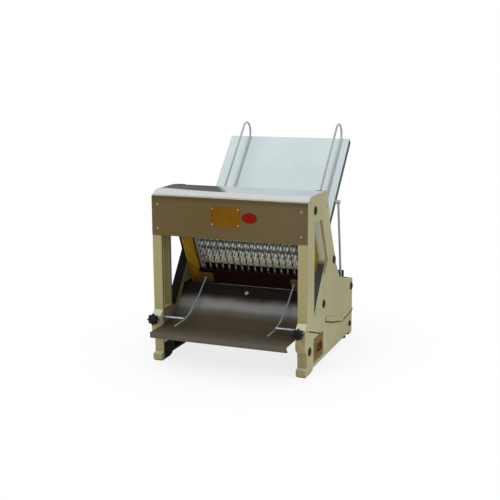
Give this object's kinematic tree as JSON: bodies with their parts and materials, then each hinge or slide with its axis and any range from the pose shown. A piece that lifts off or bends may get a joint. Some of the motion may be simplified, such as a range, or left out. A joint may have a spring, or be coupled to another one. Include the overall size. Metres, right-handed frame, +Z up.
{
  "type": "bread slicer",
  "caption": "Table-top bread slicer: cast side frames, sloping feed table, counter-moving toothed blade bank on a crank drive, curved slice tray and rocker switch.",
  "frame": {"origin": "middle of the footprint on the floor, under the centre of the bounding box", "axes": "+X to the operator's right, +Y away from the operator towards the top of the feed table, +Z up"},
  "size_m": [0.552, 0.7242, 0.7831],
  "materials": {
    "casting": "satin cream enamel",
    "foot_rubber": "matte",
    "steel": "machined",
    "cap_plastic": "semi-gloss black",
    "apron_stainless": "brushed, brownish reflections",
    "polished_stainless": "polished",
    "plate_gold": "satin gold",
    "badge_red": "gloss red",
    "blade_steel": "ground",
    "frame_steel": "bright",
    "laminate": "ochre resin laminate",
    "sill_dark": "dark brown laminate",
    "sill_light": "brown laminate",
    "gunmetal": "machined",
    "alloy": "cast",
    "motor_paint": "grey enamel",
    "belt_rubber": "matte",
    "table_white": "satin white enamel",
    "plated_wire": "plated",
    "carrier_plastic": "satin black",
    "tray_stainless": "brushed",
    "switch_metal": "satin brownish",
    "switch_red": "gloss red",
    "cover_grey": "dark blue-grey enamel"
  },
  "bodies": {
    "frame": {"side_frame_left": "casting", "side_frame_right": "casting", "rubber_feet": "foot_rubber", "tie_rods": "steel", "bolt_caps": "cap_plastic", "front_cover": "apron_stainless", "top_plate": "polished_stainless", "cover_screws": "steel", "name_plate": "plate_gold", "oval_badge": "badge_red", "guide_post_left": "laminate", "guide_post_right": "laminate", "sill_board": "sill_dark", "sill_blocks": "sill_light", "drive_belt": "belt_rubber", "motor_body": "motor_paint", "motor_plate": "steel", "shaft_bearings": "gunmetal", "feed_table": "table_white", "table_struts": "plated_wire", "guide_rod": "plated_wire", "guide_rod_screws": "steel", "tray": "tray_stainless", "tray_brackets": "steel", "tray_posts": "steel", "tray_screw": "steel", "switch_plate": "switch_metal", "switch_case": "cap_plastic", "cable_gland": "cap_plastic", "rear_cover": "cover_grey"},
    "front_blade_frame": {"front_blades": "blade_steel", "front_frame_bars": "frame_steel", "front_frame_rails": "frame_steel"},
    "rear_blade_frame": {"rear_blades": "blade_steel", "rear_frame_bars": "frame_steel", "rear_frame_rails": "frame_steel"},
    "crank": {"crankshaft": "steel", "eccentrics": "steel", "crank_pulley": "gunmetal"},
    "front_rod_pair": {"front_rods": "alloy"},
    "rear_rod_pair": {"rear_rods": "alloy"},
    "motor_rotor": {"motor_shaft": "steel", "motor_pulley": "gunmetal"},
    "right_loaf_guide": {"loaf_guide_right_wire": "plated_wire", "loaf_guide_right_carrier": "carrier_plastic"},
    "left_loaf_guide": {"loaf_guide_left_wire": "plated_wire", "loaf_guide_left_carrier": "carrier_plastic"},
    "right_tray_guide": {"tray_guide_right": "plated_wire"},
    "left_tray_guide": {"tray_guide_left": "plated_wire"},
    "right_star_knob": {"star_knob_right": "cap_plastic"},
    "left_star_knob": {"star_knob_left": "cap_plastic"},
    "switch_rocker": {"rocker": "switch_red"}
  },
  "joints": [
    {"name": "rear_blade_slide", "type": "slide", "parent": "frame", "child": "rear_blade_frame", "axis": [0, -0.454, 0.891], "range_m": [-0.012, 0.012]},
    {"name": "front_blade_slide", "type": "slide", "parent": "frame", "child": "front_blade_frame", "axis": [0, -0.454, 0.891], "range_m": [-0.012, 0.012]},
    {"name": "crank_spin", "type": "hinge", "parent": "frame", "child": "crank", "pos_m": [0, 0.06407, 0.09429], "axis": [1, 0, 0], "continuous": true},
    {"name": "front_rod_turn", "type": "hinge", "parent": "crank", "child": "front_rod_pair", "pos_m": [0, 0.05338, 0.08884], "axis": [1, 0, 0], "continuous": true},
    {"name": "rear_rod_turn", "type": "hinge", "parent": "crank", "child": "rear_rod_pair", "pos_m": [0, 0.07476, 0.09973], "axis": [1, 0, 0], "continuous": true},
    {"name": "motor_spin", "type": "hinge", "parent": "frame", "child": "motor_rotor", "pos_m": [-0.18, 0.18444, 0.1], "axis": [1, 0, 0], "continuous": true},
    {"name": "right_loaf_guide_slide", "type": "slide", "parent": "frame", "child": "right_loaf_guide", "axis": [1, 0, 0], "range_m": [-0.18, 0.02]},
    {"name": "left_loaf_guide_slide", "type": "slide", "parent": "frame", "child": "left_loaf_guide", "axis": [1, 0, 0], "range_m": [-0.07, 0.12]},
    {"name": "right_tray_guide_slide", "type": "slide", "parent": "frame", "child": "right_tray_guide", "axis": [1, 0, 0], "range_m": [-0.015, 0.055]},
    {"name": "left_tray_guide_slide", "type": "slide", "parent": "frame", "child": "left_tray_guide", "axis": [1, 0, 0], "range_m": [-0.055, 0.015]},
    {"name": "right_star_knob_turn", "type": "hinge", "parent": "frame", "child": "right_star_knob", "pos_m": [0.254, -0.30256, 0.152], "axis": [0, 1, 0], "range_deg": [0, 360]},
    {"name": "left_star_knob_turn", "type": "hinge", "parent": "frame", "child": "left_star_knob", "pos_m": [-0.254, -0.30256, 0.152], "axis": [0, 1, 0], "range_deg": [0, 360]},
    {"name": "rocker_tilt", "type": "hinge", "parent": "frame", "child": "switch_rocker", "pos_m": [0.272, -0.13906, 0.067], "axis": [0, 0, 1], "range_deg": [0, 18]}
  ],
  "couplings": [
    {"joint": "front_blade_slide", "follows": "rear_blade_slide", "ratio": -1},
    {"joint": "front_rod_turn", "follows": "crank_spin", "ratio": -1},
    {"joint": "rear_rod_turn", "follows": "crank_spin", "ratio": -1},
    {"joint": "motor_spin", "follows": "crank_spin", "ratio": 2.7213}
  ]
}
